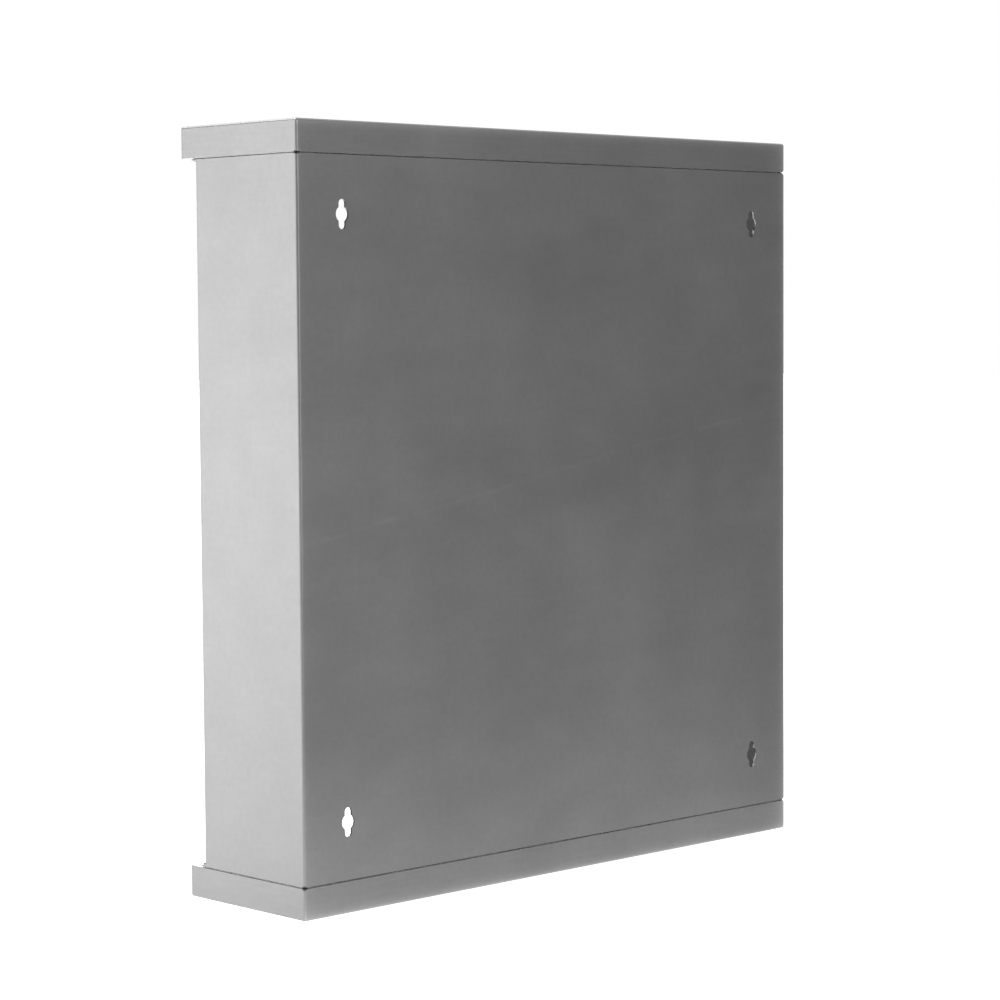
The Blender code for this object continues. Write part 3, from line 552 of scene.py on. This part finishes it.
def terminal_bar(name, heights, feet=()):
    """A bar with a wire hole through it and a slotted set screw above each one."""
    low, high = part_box(name)
    front, back = low.y, low.y + FOOTED_BAR_DEPTH if feet else high.y
    middle = (low.x + high.x) / 2
    body = block((low.x, front, low.z), (high.x, back, high.z))
    wire = front + WIRE_DEPTH
    holes, screws, slots = [], [], []
    for z in heights:
        holes.append(rod((low.x - 0.001, wire, z), (high.x + 0.001, wire, z), WIRE_RADIUS, 16))
        holes.append(rod((middle, front - 0.001, z), (middle, wire, z), SCREW_HOLE_RADIUS, 16))
        top = front - rng.uniform(0.0002, 0.0008)
        screws.append(rod((middle, front + SET_SCREW_DEPTH, z), (middle, top, z), SET_SCREW_RADIUS, 16))
        slots.append(driver_recess(middle, top, z, SET_SCREW_RADIUS, 0.0010))
    pads, heads, crosses = [], [], []
    for z in feet:
        pads.append(block((low.x + FOOT_INSET, back - 0.001, z - FOOT_HALF_HEIGHT),
                          (high.x - FOOT_INSET, high.y, z + FOOT_HALF_HEIGHT)))
        top = front - FOOT_SCREW_HEIGHT
        heads.append(rod((middle, front - 0.0002, z), (middle, top, z),
                         FOOT_SCREW_RADIUS, 24, FOOT_SCREW_CROWN))
        crosses.append(driver_recess(middle, top, z, 0.0024, 0.0012, cross=True))
    piece(name + "_drilled", shaped([body], holes, pads), "terminal_aluminium", "enclosure",
          replaces=(name,))
    piece(name + "_set_screws", shaped(screws, slots), "zinc_steel", "enclosure", edge=0.0001)
    if feet:
        piece(name + "_mounting_screws", shaped(heads, crosses), "zinc_steel", "enclosure", edge=0.0001)


def wire_heights(low, high):
    count = int((high - low) / WIRE_PITCH + 0.5) + 1
    return [low + WIRE_PITCH * step for step in range(count)]


def make_terminal_bars():
    terminal_bar("neutral_bar_left", wire_heights(-0.1120, 0.0888))
    terminal_bar("neutral_bar_right", wire_heights(-0.1410, 0.1120))
    terminal_bar("ground_bar", wire_heights(-0.1300, -0.0500), feet=(-0.1400, -0.0400))


def make_lug_screws():
    """Socket set screws, a little below the lugs' faces."""
    for name, radius, size in (("main_lug_left", 0.0050, 0.0027), ("main_lug_right", 0.0050, 0.0027),
                               ("neutral_lug", 0.0048, 0.0026)):
        low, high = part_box(name)
        x, z = (low.x + high.x) / 2, (low.z + high.z) / 2
        if name != "neutral_lug":
            z = low.z + MAIN_LUG_SCREW_RISE
        face = low.y + LUG_RECESS
        screw = rod((x, face + LUG_SCREW_LENGTH, z), (x, face, z), radius, 28)
        socket = rod((x, face + LUG_SOCKET_DEPTH, z), (x, face - 0.001, z), size, 6)
        piece(name + "_set_screw", shaped([screw], [socket]), "zinc_steel", "enclosure")


def pole_heights(name):
    """The heights of a breaker's poles, from the top one down."""
    low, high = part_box(name)
    count = round((high.z - low.z) / POLE_PITCH)
    top = (low.z + high.z + (count - 1) * POLE_PITCH) / 2
    return [top - POLE_PITCH * pole for pole in range(count)]


def make_breaker_details():
    """Terminal screws in their holes, and a blank rating label on each pole."""
    for name in BRANCH_BREAKERS:
        side = -1 if name.startswith("left") else 1
        x = side * TERMINAL_ACROSS
        screws, slots, labels = [], [], []
        for z in pole_heights(name):
            screws.append(rod((x, TERMINAL_SEAT, z), (x, TERMINAL_TOP, z), 0.0040, 24, 0.0036))
            slots.append(driver_recess(x, TERMINAL_TOP, z, 0.0028, 0.0012, cross=True))
            low, high = sorted((side * LABEL_INNER, side * LABEL_OUTER))
            labels.append(block((low, LABEL_TOP, z - LABEL_HALF_HEIGHT),
                                (high, LABEL_SEAT, z + LABEL_HALF_HEIGHT)))
        piece(name + "_terminal_screws", shaped(screws, slots), "zinc_steel", "enclosure", edge=0.0001)
        piece(name + "_label", shaped(labels), "card_stock", "enclosure", look=LABEL_LOOK, edge=0.00005)
    label = block((-MAIN_LABEL_HALF_WIDTH, LABEL_TOP, MAIN_LABEL_LOW),
                  (MAIN_LABEL_HALF_WIDTH, LABEL_SEAT, MAIN_LABEL_HIGH))
    piece("main_breaker_label", shaped([label]), "card_stock", "enclosure", look=LABEL_LOOK, edge=0.00005)


def rivets(name, body, axis, x, y, heights):
    """Button heads along an axis, placed with the cover closed, and swung open where they ride on it."""
    axis = Vector(axis)
    parts = []
    for z in heights:
        place = Vector((x, y, z))
        seat, top = place - axis * 0.0001, place + axis * RIVET_HEIGHT
        parts.append(rod(seat, top, RIVET_RADIUS, 20, RIVET_CROWN))
    mesh = shaped(parts)
    if body == "cover":
        mesh.transform(TO_OPEN)
    piece(name, mesh, "zinc_steel", body, edge=0.0003)


def make_hinge_rivets():
    left, front = (-1, 0, 0), (0, -1, 0)
    for label, z in COVER_HINGE_HEIGHTS.items():
        heights = (z - COVER_RIVET_PITCH, z, z + COVER_RIVET_PITCH)
        name = f"cover_hinge_{label}"
        rivets(name + "_body_rivets", "enclosure", left, BODY_LEAF_FACE, BODY_LEAF_Y, heights)
        rivets(name + "_cover_rivets", "cover", left, COVER_LEAF_FACE, COVER_LEAF_Y, heights)
    for label, z in DOOR_HINGE_HEIGHTS.items():
        heights = (z - DOOR_RIVET_OFFSET, z + DOOR_RIVET_OFFSET)
        rivets(f"door_hinge_{label}_rivets", "cover", front, DOOR_LEAF_X, DOOR_LEAF_FACE, heights)


# Studio

def make_camera():
    data = bpy.data.cameras.new("camera")
    data.lens = CAMERA_LENS_MM
    data.sensor_width = SENSOR_MM
    data.clip_start = 0.01
    data.clip_end = 100.0
    camera = bpy.data.objects.new("camera", data)
    bpy.context.scene.collection.objects.link(camera)
    camera.location = CAMERA_PLACE
    level = math.cos(CAMERA_ELEVATION)
    back = Vector((math.sin(CAMERA_AZIMUTH) * level, -math.cos(CAMERA_AZIMUTH) * level,
                   math.sin(CAMERA_ELEVATION)))
    camera.rotation_mode = "QUATERNION"
    camera.rotation_quaternion = back.to_track_quat("Z", "Y") @ Quaternion((0, 0, 1), CAMERA_ROLL)
    bpy.context.scene.camera = camera


def area_light(name, place, target, size, power):
    """A soft rectangle that faces its target, in watts, and that the camera doesn't see."""
    data = bpy.data.lights.new(name, "AREA")
    data.shape = "RECTANGLE"
    data.size, data.size_y = size
    data.energy = power
    light = bpy.data.objects.new(name, data)
    bpy.context.scene.collection.objects.link(light)
    light.location = place
    light.visible_camera = False
    aim = Vector(place) - Vector(target)
    light.rotation_mode = "QUATERNION"
    light.rotation_quaternion = aim.to_track_quat("Z", "Y")


def make_world(seen, ambient):
    """White where the camera looks past the object, and a dimmer ambient light."""
    world = bpy.data.worlds.new("studio")
    bpy.context.scene.world = world
    world.use_nodes = True
    tree = world.node_tree
    tree.nodes.clear()
    output = tree.nodes.new("ShaderNodeOutputWorld")
    mix = tree.nodes.new("ShaderNodeMixShader")
    path = tree.nodes.new("ShaderNodeLightPath")
    for socket, strength in ((1, ambient), (2, seen)):
        shade = tree.nodes.new("ShaderNodeBackground")
        shade.inputs["Color"].default_value = (1, 1, 1, 1)
        shade.inputs["Strength"].default_value = strength
        tree.links.new(shade.outputs["Background"], mix.inputs[socket])
    tree.links.new(path.outputs["Is Camera Ray"], mix.inputs[0])
    tree.links.new(mix.outputs["Shader"], output.inputs["Surface"])


def make_floor(height, near, far):
    """A pale floor that glows softly, less so far away behind the object's left."""
    bm = bmesh.new()
    bmesh.ops.create_grid(bm, x_segments=1, y_segments=1, size=12.0)
    mesh = bpy.data.meshes.new("floor")
    bm.to_mesh(mesh)
    bm.free()
    floor = bpy.data.objects.new("floor", mesh)
    bpy.context.scene.collection.objects.link(floor)
    floor.location.z = height
    n = Nodes("floor")
    n.shader.inputs["Base Color"].default_value = (FLOOR_TONE, FLOOR_TONE, FLOOR_TONE, 1)
    n.shader.inputs["Roughness"].default_value = 0.9
    n.shader.inputs["Emission Color"].default_value = (1, 1, 1, 1)
    away = n.math("ADD", n.math("MULTIPLY", n.x, GLOW_X), n.math("MULTIPLY", n.y, GLOW_Y))
    glow = n.ramp(away, near, far, GLOW_START, GLOW_END)
    seen = n.add("ShaderNodeLightPath").outputs["Is Camera Ray"]
    n.link(n.math("MAXIMUM", glow, seen), n.shader.inputs["Emission Strength"])
    mesh.materials.append(n.material)


def make_studio():
    make_world(seen=1.0, ambient=0.445)
    make_floor(CAD_BOX[0].z - 0.002, near=1.48, far=0.04)
    area_light("side_softbox", (2.1, -2.3, 0.35), (0.25, -0.05, 0.0), (2.4, 1.3), 26)
    area_light("floor_wash", (0.95, -1.1, 1.6), (0.95, -1.1, 0.0), (1.4, 1.4), 58)
    area_light("edge_strip", (2.6, -0.5, 0.3), (0.23, 0.0, 0.0), (0.5, 1.6), 10)
    area_light("back_fill", (-0.7, 3.2, 0.5), (0.1, 0.0, 0.0), (1.0, 1.2), 16)
    area_light("far_panel", (-2.8, -1.0, 0.4), (-0.2, 0.0, 0.0), (1.4, 1.6), 12)
    area_light("far_high", (-2.0, 0.2, 2.1), (-0.1, 0.0, 0.25), (1.8, 1.8), 7)
    area_light("overhead", (-0.2, 0.5, 2.6), (0.0, -0.05, 0.25), (2.6, 2.6), 12)
    area_light("front_fill", (-1.6, -2.8, 1.6), (0.0, 0.0, 0.0), (2.8, 2.4), 14)


make_camera()
dress_nodes()
make_terminal_bars()
make_lug_screws()
make_breaker_details()
make_hinge_rivets()
make_studio()
scene = bpy.context.scene
scene.view_settings.view_transform = "Standard"
